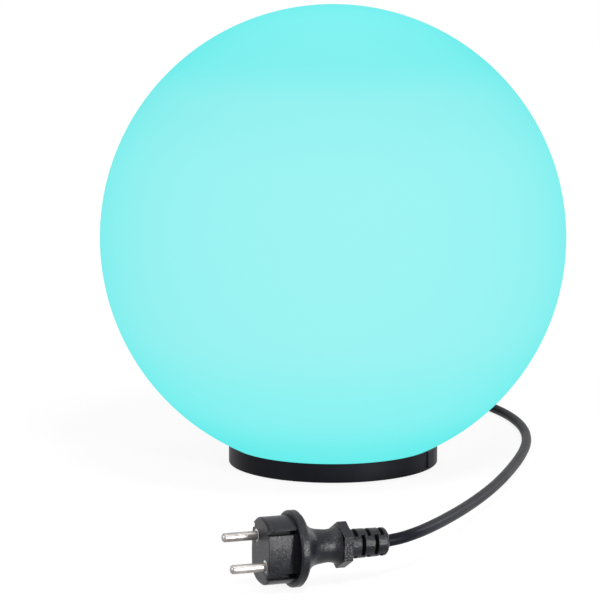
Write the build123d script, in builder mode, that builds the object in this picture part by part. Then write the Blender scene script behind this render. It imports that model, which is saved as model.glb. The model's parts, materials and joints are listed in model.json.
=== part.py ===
from build123d import *
from math import cos, pi, radians, sin, sqrt, tan
import os

# Garden globe light: a glowing plastic globe that twists onto a low round base by three bayonet lugs.
# A screw-in lamp stands in a lampholder on the base, and a rubber mains cord ends in a two-pin plug.
# Millimetres, +Z up. The origin is on the ground under the globe's axis. The cord leaves towards +Y.

os.makedirs("parts", exist_ok=True)

# Globe
globe_radius = 150.0
globe_wall = 2.5
lip_thickness = 3.0
neck_radius = 50.0

# Base
base_radius = 68.0
skirt_wall = 2.0
foot_height = 0.8
foot_radius = 7.0
foot_recess = 0.4
foot_chamfer = 0.3
plate_thickness = 1.5
deck_thickness = 1.8
rim_land = 0.5
turret_wall = 2.4
turret_rise = 14.8
roof_thickness = 2.0
roof_hole_radius = 9.0
roof_chamfer = 1.0
roof_skin = 0.5
boss_radius = 4.5
boss_inset = 11.0
boss_count = 3
holder_boss_radius = 3.6
holder_boss_length = 6.0
seal_thickness = 1.2
seal_inner_share = 0.19
seal_outer_share = 0.74
tab_width = 9.5
tab_proud = 1.0
tab_bottom = 2.0
tab_angle = -24.0

# Bayonet
lug_count = 3
lug_engage = 5.0
lug_thickness = 3.0
lug_half_angle = 12.0
notch_half_angle = 14.0
turn_angle = 30.0
first_lug_angle = 30.0
stop_half_angle = 1.5
stop_height = 3.0
stop_inset = 1.0

# Gaps
body_gap = 0.3
fit_gap = 0.05
notch_gap = 0.6
plate_gap = 0.5
neck_gap = 0.4
clip_gap = 0.1
stop_gap_angle = 0.4
screw_tip_gap = 1.0
gland_ground_gap = 0.35
overcut = 1.0
wire_gap = 0.1
core_gap = 0.3

# Cord and its strain relief
cord_radius = 3.25
cord_channel_gap = 0.3
gland_length = 24.0
gland_flange = 2.4
gland_wall = 0.9
relief_root_wall = 1.7
relief_groove = 0.5
relief_groove_width = 1.6
gland_flange_edge = 0.6
groove_count = 3
inner_flange_width = 14.0
inner_flange_thickness = 2.5
clip_thickness = 1.5
rib_thickness = 2.1
rib_width = 4.0
sheath_end = 50.0
clip_grip = 0.4

# Screws
screw_radius = 1.45
screw_head_radius = 2.8
terminal_screw_radius = 1.0
terminal_screw_sunk = 0.5
driver_room = 0.6
block_screw_head_radius = 2.2
block_screw_head = 1.5
block_screw_bite = 1.4
holder_screw_head_radius = 2.5
holder_screw_head = 1.8

# Terminals and wires
block_width = 20.0
block_length = 14.0
block_height = 11.0
block_front = 16.0
block_corner = 1.5
terminal_pitch = 9.0
sleeve_length = 11.0
sleeve_wall = 1.2
wire_radius = 1.1
wire_straight = 6.0
wire_overlap = 2.0
wire_bend_near = 5.0
wire_bend = 6.0
lead_y = 5.0

# Lampholder
holder_foot_radius = 28.0
holder_foot_thickness = 3.0
holder_screw_circle = 23.4
holder_wall = 4.0
holder_taper = 0.6
holder_taper_height = 12.0
holder_rim_fillet = 1.2
cap_proud = 1.0
shelf_height = 8.0
shelf_width = 3.9
insulator_thickness = 4.0
contact_rise = 2.5
contact_width = 5.0
contact_sheet = 0.6
contact_foot_end = 9.0
contact_foot_start = 4.35
contact_bend = 2.05
contact_slant = 0.15
contact_reach = 3.5
shell_length = 20.0
shell_wall = 1.0

# Lamp
cap_radius = 13.1
cap_length = 20.0
cap_wall = 0.5
thread_gap = 0.25
tip_radius = 4.5
tip_height = 1.0
vitrite_height = 3.5
vitrite_spread = 1.0
vitrite_inset = 0.8
cap_chamfer = 0.4
lamp_radius = 30.0
lamp_neck_radius = 13.9
lamp_housing_height = 32.0
lamp_housing_wall = 2.0
lamp_rim_radius = 29.5
lamp_waist = 5.0
lamp_shoulder = 9.0
lamp_shoulder_inset = 1.5
board_seat = 3.5
board_seat_depth = 2.0
lamp_dome_wall = 1.3
lamp_dome_straight = 22.0
board_radius = 27.6
board_thickness = 1.6
driver_width = 22.0
driver_height = 22.0
capacitor_width = 9.0
capacitor_depth = 5.0
capacitor_height = 10.0
capacitor_bottom = 6.0
led_size = 2.8
led_height = 0.8
led_circle = 18.0
led_count = 10

# Plug
pin_radius = 2.4
pin_length = 19.0
pin_pitch = 19.0
pin_buried = 12.0
pin_root_radius = 2.1
pin_shoulder = 0.2
pin_tip_fillet = 1.6
collar_wall = 1.1
collar_depth = 3.0
collar_sunk = 0.3
barrel_radius = 17.75
barrel_length = 15.6
barrel_edge = 1.0
flange_radius = 20.2
flange_thickness = 5.5
flange_rear_edge = 0.8
flange_front_edge = 1.3
neck_waist_radius = 9.0
neck_length = 21.9
neck_waist_share = 0.58
neck_hollow = 1.5
neck_hollow_share = 0.3
hex_inset = 0.6
neck_start_slope = 0.6
neck_end_slope = 0.55
hex_across = 21.8
hex_length = 5.2
relief_length = 22.8
relief_start_radius = 8.0
relief_end_radius = 7.5
relief_edge = 1.0
relief_slot = 2.2
relief_slot_count = 5
relief_slot_half_angle = 48.0
relief_core_wall = 1.4
recess_half_height = 12.9
recess_depth = 5.35
recess_bulge = 1.3
groove_width = 2.6
groove_depth = 2.0
plug_tail_x = 27.5
plug_tail_y = -281.0
plug_yaw = 23.0
plug_tilt = 1.5
pin_roll = 44.0

# Coil of the spare cord
coil_x = 38.0
coil_y = 174.5
coil_outer = 45.8
coil_pitch = 6.95
coil_layers = 4
coil_turns = 10.25
tie_thickness = 0.6
tie_width = 9.0
tie_gap = 0.35
tie_angle = -60.0

# Heights and radii that follow from the sizes above
plate_top = foot_height + plate_thickness
deck_bottom = plate_top + 2 * (cord_radius + cord_channel_gap)
deck_top = deck_bottom + deck_thickness
lip_bottom = deck_top + seal_thickness
lip_top = lip_bottom + lip_thickness
base_height = lip_bottom + body_gap
globe_centre = base_height + sqrt((globe_radius + body_gap) ** 2 - (base_radius - rim_land) ** 2)
skirt_inner = base_radius - skirt_wall
turret_radius = neck_radius - body_gap
turret_inner = turret_radius - turret_wall
turret_top = deck_top + turret_rise
roof_bottom = turret_top - roof_thickness
lug_radius = neck_radius + lug_engage
lug_bottom = lip_top + body_gap
notch_radius = lug_radius + notch_gap
rim_inner = sqrt((globe_radius + body_gap) ** 2 - (globe_centre - lip_bottom) ** 2)
seal_inner = notch_radius + (rim_inner - notch_radius) * seal_inner_share
seal_outer = notch_radius + (rim_inner - notch_radius) * seal_outer_share
boss_circle = base_radius - boss_inset
entry_height = (plate_top + deck_bottom) / 2
third_turn = 360 / lug_count
plate_radius = skirt_inner - plate_gap
inner_flange_end = skirt_inner - neck_gap
inner_flange_start = inner_flange_end - inner_flange_thickness
clip_start = inner_flange_start - clip_gap - clip_thickness
rib_front = clip_start - clip_gap


def ball_reach(radius, height):
    """Distance from the axis at which a ball round the globe's centre is met at a height."""
    return sqrt(radius**2 - (globe_centre - height) ** 2)


def wedge(reach, half_angle):
    """Corners of a triangle from the axis outwards, half_angle to each side of +X."""
    spread = reach * tan(radians(half_angle))
    return [(0, 0), (reach, -spread), (reach, spread)]


def rear_plane(distance):
    """Upright plane across +Y, with its own x towards -X and its own y upwards."""
    return Plane(origin=(0, distance, 0), x_dir=(-1, 0, 0), z_dir=(0, 1, 0))


# ---- Globe: one moulding with an inward lip round its mouth ----
inner_ball = globe_radius - globe_wall
wedge_reach = globe_radius

with BuildPart() as globe_shell:
    with BuildSketch(Plane.XZ):
        with BuildLine():
            outer_mouth = (ball_reach(globe_radius, lip_bottom), lip_bottom)
            outer_side = (globe_radius, globe_centre)
            outer_top = (0, globe_centre + globe_radius)
            inner_top = (0, globe_centre + inner_ball)
            inner_side = (inner_ball, globe_centre)
            inner_mouth = (ball_reach(inner_ball, lip_top), lip_top)
            ThreePointArc(outer_mouth, outer_side, outer_top)
            Line(outer_top, inner_top)
            ThreePointArc(inner_top, inner_side, inner_mouth)
            Polyline(inner_mouth, (neck_radius, lip_top), (neck_radius, lip_bottom), outer_mouth)
        make_face()
    revolve(axis=Axis.Z)
    with BuildSketch(Plane.XY.offset(lip_bottom)):
        with PolarLocations(0, lug_count, start_angle=first_lug_angle - turn_angle):
            Polygon(*wedge(wedge_reach, notch_half_angle), align=None)
        Circle(notch_radius, mode=Mode.INTERSECT)
        Circle(neck_radius - overcut, mode=Mode.SUBTRACT)
    extrude(amount=lip_thickness, mode=Mode.SUBTRACT)
    stop_angle = first_lug_angle + lug_half_angle + stop_gap_angle + stop_half_angle
    with BuildSketch(Plane.XY.offset(lip_top)):
        with PolarLocations(0, lug_count, start_angle=stop_angle):
            Polygon(*wedge(wedge_reach, stop_half_angle), align=None)
        Circle(notch_radius, mode=Mode.INTERSECT)
        Circle(neck_radius + stop_inset, mode=Mode.SUBTRACT)
    extrude(amount=stop_height)
globe_shell.part.label = "globe_shell"
export_step(globe_shell.part, "parts/globe_shell.step")

# ---- Base housing: skirt, deck, turret with lugs, and the bosses and ribs under it ----
boss_bore_depth = deck_bottom - plate_top + deck_thickness / 2
slot_half_width = cord_radius + gland_wall + fit_gap

with BuildPart() as base_housing:
    with BuildSketch(Plane.XZ):
        with BuildLine():
            Polyline(
                (skirt_inner, foot_height),
                (base_radius, foot_height),
                (base_radius, base_height),
                (base_radius - rim_land, base_height),
                (rim_inner, lip_bottom),
                (rim_inner, deck_top),
                (turret_radius, deck_top),
                (turret_radius, turret_top),
                (roof_hole_radius, turret_top),
                (roof_hole_radius, roof_bottom),
                (turret_inner, roof_bottom),
                (turret_inner, deck_bottom),
                (skirt_inner, deck_bottom),
                close=True,
            )
        make_face()
    revolve(axis=Axis.Z)
    turret_edges = base_housing.edges().filter_by(GeomType.CIRCLE).group_by(Axis.Z)[-1]
    chamfer(turret_edges.sort_by(SortBy.RADIUS)[-1], length=roof_chamfer)
    with BuildSketch(Plane.XY.offset(lug_bottom)):
        with PolarLocations(0, lug_count, start_angle=first_lug_angle):
            Polygon(*wedge(wedge_reach, lug_half_angle), align=None)
        Circle(lug_radius, mode=Mode.INTERSECT)
        Circle(turret_inner + turret_wall / 2, mode=Mode.SUBTRACT)
    extrude(amount=lug_thickness)
    with BuildSketch(Plane.XY.offset(plate_top)):
        with PolarLocations(boss_circle, boss_count, start_angle=first_lug_angle):
            Circle(boss_radius)
    extrude(amount=deck_bottom - plate_top)
    with BuildSketch(Plane.XY.offset(plate_top)):
        with PolarLocations(boss_circle, boss_count, start_angle=first_lug_angle):
            Circle(screw_radius + fit_gap)
    extrude(amount=boss_bore_depth, mode=Mode.SUBTRACT)
    with BuildSketch(Plane.XY.offset(roof_bottom)):
        with Locations((holder_screw_circle, 0), (-holder_screw_circle, 0)):
            Circle(holder_boss_radius)
    extrude(amount=-holder_boss_length)
    with BuildSketch(Plane.XY.offset(turret_top)):
        with Locations((holder_screw_circle, 0), (-holder_screw_circle, 0)):
            Circle(screw_radius + fit_gap)
    extrude(amount=-(roof_thickness + holder_boss_length - screw_tip_gap), mode=Mode.SUBTRACT)
    block_middle = block_front + block_length / 2
    with BuildSketch(Plane.XY.offset(roof_bottom)):
        with Locations((0, block_middle)):
            Circle(screw_radius + fit_gap)
    extrude(amount=roof_thickness - roof_skin, mode=Mode.SUBTRACT)
    with BuildSketch(rear_plane(rib_front)):
        rib_middle = inner_flange_width / 2 + rib_width / 2
        rib_height = deck_bottom - plate_top - clip_gap
        rib_centre = entry_height + clip_gap / 2
        with Locations((rib_middle, rib_centre), (-rib_middle, rib_centre)):
            Rectangle(rib_width, rib_height)
    extrude(amount=-rib_thickness)
    with BuildSketch(rear_plane(skirt_inner - overcut)):
        with Locations((0, entry_height)):
            Circle(slot_half_width)
        with Locations((0, entry_height / 2)):
            Rectangle(2 * slot_half_width, entry_height)
    extrude(amount=skirt_wall + 2 * overcut, mode=Mode.SUBTRACT)
    tab_height = base_height - tab_bottom
    with BuildPart(mode=Mode.PRIVATE) as tab:
        with BuildSketch(Plane.XY.offset(tab_bottom)):
            with PolarLocations(base_radius - skirt_wall / 2, 1, start_angle=tab_angle):
                Rectangle(skirt_wall + 2 * tab_proud, tab_width)
            Circle(base_radius + tab_proud, mode=Mode.INTERSECT)
        extrude(amount=tab_height)
        with BuildSketch(Plane.XY):
            Circle(base_radius - skirt_wall / 2)
        extrude(amount=base_height, mode=Mode.SUBTRACT)
    add(tab.part)
base_housing.part.label = "base_housing"
export_step(base_housing.part, "parts/base_housing.step")

# ---- Bottom plate with countersunk screws, rubber feet, and the seal under the globe ----
foot_circle = boss_circle
foot_offset_angle = first_lug_angle + third_turn / 2

with BuildPart() as bottom_plate:
    with BuildSketch(Plane.XY.offset(foot_height)):
        Circle(plate_radius)
    extrude(amount=plate_thickness)
    with Locations(Plane.XY.offset(foot_height).rotated((180, 0, 0))):
        with PolarLocations(boss_circle, boss_count, start_angle=-first_lug_angle):
            CounterSinkHole(
                radius=screw_radius + fit_gap,
                counter_sink_radius=screw_head_radius + fit_gap,
                counter_sink_angle=90,
            )
    with BuildSketch(Plane.XY.offset(foot_height)):
        with PolarLocations(foot_circle, boss_count, start_angle=foot_offset_angle):
            Circle(foot_radius + fit_gap)
    extrude(amount=foot_recess, mode=Mode.SUBTRACT)
bottom_plate.part.label = "bottom_plate"
export_step(bottom_plate.part, "parts/bottom_plate.step")

plate_screw_length = deck_bottom - plate_top + plate_thickness
head_cone = screw_head_radius - screw_radius

with BuildPart() as bottom_plate_screws:
    with BuildSketch(Plane.XZ):
        with BuildLine():
            Polyline(
                (0, foot_height),
                (screw_head_radius, foot_height),
                (screw_radius, foot_height + head_cone),
                (screw_radius, foot_height + plate_screw_length),
                (0, foot_height + plate_screw_length),
                close=True,
            )
        make_face()
    one_screw = revolve(axis=Axis.Z, mode=Mode.PRIVATE)
    with PolarLocations(boss_circle, boss_count, start_angle=first_lug_angle):
        add(one_screw)
bottom_plate_screws.part.label = "bottom_plate_screws"
export_step(bottom_plate_screws.part, "parts/bottom_plate_screws.step")

with BuildPart() as feet:
    with BuildSketch():
        with PolarLocations(foot_circle, boss_count, start_angle=foot_offset_angle):
            Circle(foot_radius)
    extrude(amount=foot_height + foot_recess)
    chamfer(feet.faces().sort_by(Axis.Z)[:boss_count].edges(), length=foot_chamfer)
feet.part.label = "feet"
export_step(feet.part, "parts/feet.step")

with BuildPart() as seal_ring:
    with BuildSketch(Plane.XY.offset(deck_top)):
        Circle(seal_outer)
        Circle(seal_inner, mode=Mode.SUBTRACT)
    extrude(amount=seal_thickness)
seal_ring.part.label = "seal_ring"
export_step(seal_ring.part, "parts/seal_ring.step")

# ---- Strain relief moulded on the cord, its locking clip, and the cord's end inside the base ----
outer_face = base_radius + fit_gap
gland_end = base_radius + gland_length
gland_flange_radius = entry_height - gland_ground_gap
relief_start = outer_face + gland_flange
relief_run = gland_end - relief_start
relief_root = cord_radius + relief_root_wall
relief_tip = cord_radius + gland_wall

with BuildPart() as cord_gland:
    with BuildSketch(Plane.YZ):
        with BuildLine():
            Polyline(
                (inner_flange_end, entry_height),
                (inner_flange_end, entry_height + cord_radius + gland_wall),
                (outer_face, entry_height + cord_radius + gland_wall),
                (outer_face, entry_height + gland_flange_radius),
                (relief_start - gland_flange_edge, entry_height + gland_flange_radius),
                (relief_start, entry_height + gland_flange_radius - gland_flange_edge),
                (relief_start, entry_height + relief_root),
                (gland_end, entry_height + relief_tip),
                (gland_end, entry_height),
                close=True,
            )
        make_face()
    revolve(axis=Axis((0, 0, entry_height), (0, 1, 0)))
    for groove in range(groove_count):
        groove_middle = relief_start + relief_run * (groove + 1) / (groove_count + 1)
        with BuildSketch(rear_plane(groove_middle - relief_groove_width / 2)):
            with Locations((0, entry_height)):
                Circle(relief_root + overcut)
                Circle(relief_tip - relief_groove, mode=Mode.SUBTRACT)
        extrude(amount=relief_groove_width, mode=Mode.SUBTRACT)
    with BuildSketch(rear_plane(inner_flange_start)):
        with Locations((0, entry_height)):
            Rectangle(inner_flange_width, 2 * cord_radius + cord_channel_gap)
    extrude(amount=inner_flange_thickness)
    with BuildSketch(rear_plane(inner_flange_end)):
        with Locations((0, (entry_height + foot_height) / 2)):
            Rectangle(2 * (cord_radius + gland_wall), entry_height - foot_height)
    extrude(amount=outer_face - inner_flange_end)
cord_gland.part.label = "cord_gland"
export_step(cord_gland.part, "parts/cord_gland.step")

with BuildPart() as gland_clip:
    with BuildSketch(rear_plane(clip_start)):
        with Locations((0, entry_height)):
            Rectangle(inner_flange_width + 2 * rib_width, 2 * cord_radius + cord_channel_gap)
            Circle(cord_radius + fit_gap, mode=Mode.SUBTRACT)
        with Locations((0, entry_height - cord_radius)):
            Rectangle(2 * (cord_radius - clip_grip), 2 * cord_radius, mode=Mode.SUBTRACT)
    extrude(amount=clip_thickness)
gland_clip.part.label = "gland_clip"
export_step(gland_clip.part, "parts/gland_clip.step")

with BuildPart() as cord_inner:
    with BuildSketch(rear_plane(sheath_end)):
        with Locations((0, entry_height)):
            Circle(cord_radius)
    extrude(amount=inner_flange_start - sheath_end)
cord_inner.part.label = "cord_inner"
export_step(cord_inner.part, "parts/cord_inner.step")

# ---- Terminal block under the roof, with its brass sleeves and screws ----
block_bottom = roof_bottom - block_height
sleeve_outer = wire_radius + wire_gap + sleeve_wall
sleeve_height = block_bottom + block_height * 0.4
sleeve_start = block_middle - sleeve_length / 2
terminal_x = terminal_pitch / 2
screw_y = sleeve_length / 4

with BuildPart() as terminal_block:
    with BuildSketch(Plane.XY.offset(block_bottom)):
        with Locations((0, block_middle)):
            RectangleRounded(block_width, block_length, block_corner)
    extrude(amount=block_height)
    with BuildSketch(rear_plane(block_front - overcut)):
        with Locations((terminal_x, sleeve_height), (-terminal_x, sleeve_height)):
            Circle(sleeve_outer + fit_gap)
    extrude(amount=block_length + 2 * overcut, mode=Mode.SUBTRACT)
    with BuildSketch(Plane.XY.offset(block_bottom)):
        with Locations((0, block_middle)):
            with GridLocations(terminal_pitch, 2 * screw_y, 2, 2):
                Circle(terminal_screw_radius + driver_room)
    extrude(amount=sleeve_height - block_bottom, mode=Mode.SUBTRACT)
    with BuildSketch(Plane.XY.offset(block_bottom)):
        with Locations((0, block_middle)):
            Circle(screw_radius + fit_gap)
    extrude(amount=block_height, mode=Mode.SUBTRACT)
terminal_block.part.label = "terminal_block"
export_step(terminal_block.part, "parts/terminal_block.step")

with BuildPart() as terminal_sleeves:
    with BuildSketch(rear_plane(sleeve_start)):
        with Locations((terminal_x, sleeve_height), (-terminal_x, sleeve_height)):
            Circle(sleeve_outer)
            Circle(wire_radius + wire_gap, mode=Mode.SUBTRACT)
    extrude(amount=sleeve_length)
    with BuildSketch(Plane.XY.offset(block_bottom)):
        with Locations((0, block_middle)):
            with GridLocations(terminal_pitch, 2 * screw_y, 2, 2):
                Circle(terminal_screw_radius + fit_gap)
    extrude(amount=sleeve_height - block_bottom, mode=Mode.SUBTRACT)
terminal_sleeves.part.label = "terminal_sleeves"
export_step(terminal_sleeves.part, "parts/terminal_sleeves.step")

with BuildPart() as terminal_screws:
    with BuildSketch(Plane.XY.offset(block_bottom + terminal_screw_sunk)):
        with Locations((0, block_middle)):
            with GridLocations(terminal_pitch, 2 * screw_y, 2, 2):
                Circle(terminal_screw_radius)
    extrude(amount=sleeve_height - wire_radius - fit_gap - block_bottom - terminal_screw_sunk)
terminal_screws.part.label = "terminal_screws"
export_step(terminal_screws.part, "parts/terminal_screws.step")

with BuildPart() as block_screw:
    with BuildSketch(Plane.XY.offset(block_bottom)):
        with Locations((0, block_middle)):
            Circle(screw_radius)
    extrude(amount=block_height + block_screw_bite)
    with BuildSketch(Plane.XY.offset(block_bottom)):
        with Locations((0, block_middle)):
            Circle(block_screw_head_radius)
    extrude(amount=-block_screw_head)
block_screw.part.label = "block_screw"
export_step(block_screw.part, "parts/block_screw.step")

# ---- Wires: the cord's two cores, and the two leads up to the lampholder ----
core_x = wire_radius + core_gap
shelf_level = turret_top + shelf_height
wire_end = block_middle + wire_overlap / 2

for side, core_name, lead_name in ((1, "wire_brown", "lead_brown"), (-1, "wire_blue", "lead_blue")):
    core_path_points = [
        (side * core_x, sheath_end, entry_height),
        (side * core_x, sheath_end - wire_straight, entry_height),
        (side * terminal_x, block_front + block_length + wire_straight, sleeve_height),
        (side * terminal_x, wire_end, sleeve_height),
    ]
    with BuildPart() as core:
        with BuildLine():
            FilletPolyline(*core_path_points, radius=[wire_bend_near, wire_bend])
        with BuildSketch(rear_plane(sheath_end)):
            with Locations((-side * core_x, entry_height)):
                Circle(wire_radius)
        sweep()
    core.part.label = core_name
    export_step(core.part, f"parts/{core_name}.step")
    lead_path_points = [
        (side * terminal_x, wire_end - wire_overlap, sleeve_height),
        (side * terminal_x, 2 * lead_y, sleeve_height),
        (side * terminal_x, lead_y, roof_bottom),
        (side * terminal_x, lead_y, shelf_level),
    ]
    with BuildPart() as lead:
        with BuildLine():
            FilletPolyline(*lead_path_points, radius=[wire_bend, wire_bend])
        with BuildSketch(rear_plane(wire_end - wire_overlap)):
            with Locations((-side * terminal_x, sleeve_height)):
                Circle(wire_radius)
        sweep()
    lead.part.label = lead_name
    export_step(lead.part, f"parts/{lead_name}.step")

# ---- Lampholder on the turret's roof ----
shell_inner = cap_radius + thread_gap
shell_outer = shell_inner + shell_wall
holder_bore = shell_outer + fit_gap
holder_radius = holder_bore + holder_wall
insulator_top = shelf_level + insulator_thickness
contact_top = insulator_top + contact_rise
cap_bottom = contact_top + tip_height + vitrite_height
cap_top = cap_bottom + cap_length
holder_top = cap_top - cap_proud

with BuildPart() as lampholder_body:
    with BuildSketch(Plane.XZ):
        with BuildLine():
            Polyline(
                (holder_bore - shelf_width, turret_top),
                (holder_foot_radius, turret_top),
                (holder_foot_radius, turret_top + holder_foot_thickness),
                (holder_radius + holder_taper, turret_top + holder_foot_thickness),
                (holder_radius, turret_top + holder_foot_thickness + holder_taper_height),
                (holder_radius, holder_top),
                (holder_bore, holder_top),
                (holder_bore, shelf_level),
                (holder_bore - shelf_width, shelf_level),
                close=True,
            )
        make_face()
    revolve(axis=Axis.Z)
    top_rim = lampholder_body.edges().filter_by(GeomType.CIRCLE).group_by(Axis.Z)[-1]
    fillet(top_rim.sort_by(SortBy.RADIUS)[-1], radius=holder_rim_fillet)
    with BuildSketch(Plane.XY.offset(turret_top)):
        with Locations((holder_screw_circle, 0), (-holder_screw_circle, 0)):
            Circle(screw_radius + fit_gap)
    extrude(amount=holder_foot_thickness, mode=Mode.SUBTRACT)
lampholder_body.part.label = "lampholder_body"
export_step(lampholder_body.part, "parts/lampholder_body.step")

with BuildPart() as lampholder_insulator:
    with BuildSketch(Plane.XY.offset(shelf_level)):
        Circle(holder_bore - fit_gap)
    extrude(amount=insulator_thickness)
lampholder_insulator.part.label = "lampholder_insulator"
export_step(lampholder_insulator.part, "parts/lampholder_insulator.step")

with BuildPart() as lampholder_shell:
    with BuildSketch(Plane.XY.offset(insulator_top)):
        Circle(shell_outer)
        Circle(shell_inner, mode=Mode.SUBTRACT)
    extrude(amount=shell_length)
lampholder_shell.part.label = "lampholder_shell"
export_step(lampholder_shell.part, "parts/lampholder_shell.step")

with BuildPart() as lampholder_contact:
    with BuildSketch(Plane.XZ.offset(-contact_width / 2)):
        with BuildLine():
            Polyline(
                (-contact_foot_end, insulator_top),
                (contact_slant - contact_foot_start, insulator_top),
                (contact_slant - contact_bend, contact_top - contact_sheet),
                (contact_reach, contact_top - contact_sheet),
                (contact_reach, contact_top),
                (-contact_slant - contact_bend, contact_top),
                (-contact_slant - contact_foot_start, insulator_top + contact_sheet),
                (-contact_foot_end, insulator_top + contact_sheet),
                close=True,
            )
        make_face()
    extrude(amount=contact_width)
lampholder_contact.part.label = "lampholder_contact"
export_step(lampholder_contact.part, "parts/lampholder_contact.step")

holder_screw_length = holder_foot_thickness + roof_thickness + holder_boss_length - 2 * screw_tip_gap
with BuildPart() as lampholder_screws:
    with BuildSketch(Plane.XY.offset(turret_top + holder_foot_thickness)):
        with Locations((holder_screw_circle, 0), (-holder_screw_circle, 0)):
            Circle(holder_screw_head_radius)
    extrude(amount=holder_screw_head)
    with BuildSketch(Plane.XY.offset(turret_top + holder_foot_thickness)):
        with Locations((holder_screw_circle, 0), (-holder_screw_circle, 0)):
            Circle(screw_radius)
    extrude(amount=-holder_screw_length)
lampholder_screws.part.label = "lampholder_screws"
export_step(lampholder_screws.part, "parts/lampholder_screws.step")

# ---- Lamp: screw cap, driver in a finned cup, board of LEDs and a frosted dome ----
with BuildPart() as bulb_tip:
    with BuildSketch(Plane.XY.offset(contact_top)):
        Circle(tip_radius)
    extrude(amount=tip_height)
bulb_tip.part.label = "bulb_tip"
export_step(bulb_tip.part, "parts/bulb_tip.step")

with BuildPart() as bulb_insulator:
    with BuildSketch(Plane.XY.offset(contact_top + tip_height)):
        Circle(tip_radius + vitrite_spread)
    with BuildSketch(Plane.XY.offset(cap_bottom)):
        Circle(cap_radius - vitrite_inset)
    loft()
bulb_insulator.part.label = "bulb_insulator"
export_step(bulb_insulator.part, "parts/bulb_insulator.step")

with BuildPart() as bulb_cap:
    with BuildSketch(Plane.XY.offset(cap_bottom)):
        Circle(cap_radius)
    extrude(amount=cap_length)
    with BuildSketch(Plane.XY.offset(cap_bottom + cap_wall)):
        Circle(cap_radius - cap_wall)
    extrude(amount=cap_length - cap_wall, mode=Mode.SUBTRACT)
    chamfer(bulb_cap.edges().group_by(Axis.Z)[0], length=cap_chamfer)
bulb_cap.part.label = "bulb_cap"
export_step(bulb_cap.part, "parts/bulb_cap.step")

housing_top = cap_top + lamp_housing_height
cavity_floor = cap_top + 2 * lamp_housing_wall
waist_height = cap_top + lamp_waist
shoulder_height = housing_top - lamp_shoulder

with BuildPart() as bulb_housing:
    with BuildSketch(Plane.XZ):
        with BuildLine():
            Polyline(
                (0, cap_top),
                (lamp_neck_radius, cap_top),
                (lamp_neck_radius, waist_height),
                (lamp_rim_radius - lamp_shoulder_inset, shoulder_height),
                (lamp_rim_radius, housing_top),
                (board_radius - board_seat, housing_top),
                (board_radius - board_seat, housing_top - board_seat_depth),
                (lamp_rim_radius - lamp_shoulder_inset - lamp_housing_wall, shoulder_height),
                (lamp_neck_radius - lamp_housing_wall, cavity_floor),
                (0, cavity_floor),
                close=True,
            )
        make_face()
    revolve(axis=Axis.Z)
bulb_housing.part.label = "bulb_housing"
export_step(bulb_housing.part, "parts/bulb_housing.step")

with BuildPart() as bulb_driver:
    with BuildSketch(Plane.XY.offset(cavity_floor)):
        Rectangle(driver_width, board_thickness)
    extrude(amount=driver_height)
    with BuildSketch(Plane.XY.offset(cavity_floor + capacitor_bottom)):
        with Locations((0, -(board_thickness + capacitor_depth) / 2)):
            Rectangle(capacitor_width, capacitor_depth)
    extrude(amount=capacitor_height)
bulb_driver.part.label = "bulb_driver"
export_step(bulb_driver.part, "parts/bulb_driver.step")

with BuildPart() as bulb_led_board:
    with BuildSketch(Plane.XY.offset(housing_top)):
        Circle(board_radius)
    extrude(amount=board_thickness)
bulb_led_board.part.label = "bulb_led_board"
export_step(bulb_led_board.part, "parts/bulb_led_board.step")

with BuildPart() as bulb_leds:
    with BuildSketch(Plane.XY.offset(housing_top + board_thickness)):
        with PolarLocations(led_circle, led_count):
            Rectangle(led_size, led_size)
    extrude(amount=led_height)
bulb_leds.part.label = "bulb_leds"
export_step(bulb_leds.part, "parts/bulb_leds.step")

dome_centre = housing_top + lamp_dome_straight
with BuildPart() as bulb_diffuser:
    with BuildSketch(Plane.XZ):
        with BuildLine():
            dome_inner = lamp_radius - lamp_dome_wall
            half_root = sqrt(0.5)
            Line((lamp_rim_radius, housing_top), (lamp_radius, dome_centre))
            ThreePointArc(
                (lamp_radius, dome_centre),
                (lamp_radius * half_root, dome_centre + lamp_radius * half_root),
                (0, dome_centre + lamp_radius),
            )
            Line((0, dome_centre + lamp_radius), (0, dome_centre + dome_inner))
            ThreePointArc(
                (0, dome_centre + dome_inner),
                (dome_inner * half_root, dome_centre + dome_inner * half_root),
                (dome_inner, dome_centre),
            )
            Line((dome_inner, dome_centre), (lamp_rim_radius - lamp_dome_wall, housing_top))
            Line((lamp_rim_radius - lamp_dome_wall, housing_top), (lamp_rim_radius, housing_top))
        make_face()
    revolve(axis=Axis.Z)
bulb_diffuser.part.label = "bulb_diffuser"
export_step(bulb_diffuser.part, "parts/bulb_diffuser.step")

# ---- Plug: one rubber moulding on its own axis, from the face (0) to the cord's exit ----
flange_end = barrel_length + flange_thickness
hex_start = flange_end + neck_length
hex_end = hex_start + hex_length
plug_length = hex_end + relief_length
yaw = radians(plug_yaw)
tilt = radians(plug_tilt)
plug_axis = Vector(cos(yaw) * cos(tilt), sin(yaw) * cos(tilt), -sin(tilt))
flange_middle = barrel_length + flange_thickness / 2
flange_centre_height = flange_radius * cos(tilt) + flange_thickness * sin(tilt)
tail_height = flange_centre_height - (plug_length - flange_middle) * sin(tilt)
cord_start = Vector(plug_tail_x, plug_tail_y, tail_height)
plug_face = cord_start - plug_axis * plug_length
plug_plane = Plane(origin=plug_face, x_dir=Vector(sin(yaw), -cos(yaw), 0), z_dir=plug_axis)
section_plane = Plane(origin=plug_face, x_dir=plug_plane.x_dir, z_dir=-plug_plane.y_dir)
plug_line = Axis(plug_face, plug_axis)
recess_floor = barrel_radius - recess_depth
pin_x = pin_pitch / 2 * sin(radians(pin_roll))
pin_y = pin_pitch / 2 * cos(radians(pin_roll))
pin_places = [(pin_x, pin_y), (-pin_x, -pin_y)]
collar_outer = pin_radius + fit_gap + collar_wall
waist_at = flange_end + neck_length * neck_waist_share
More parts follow.
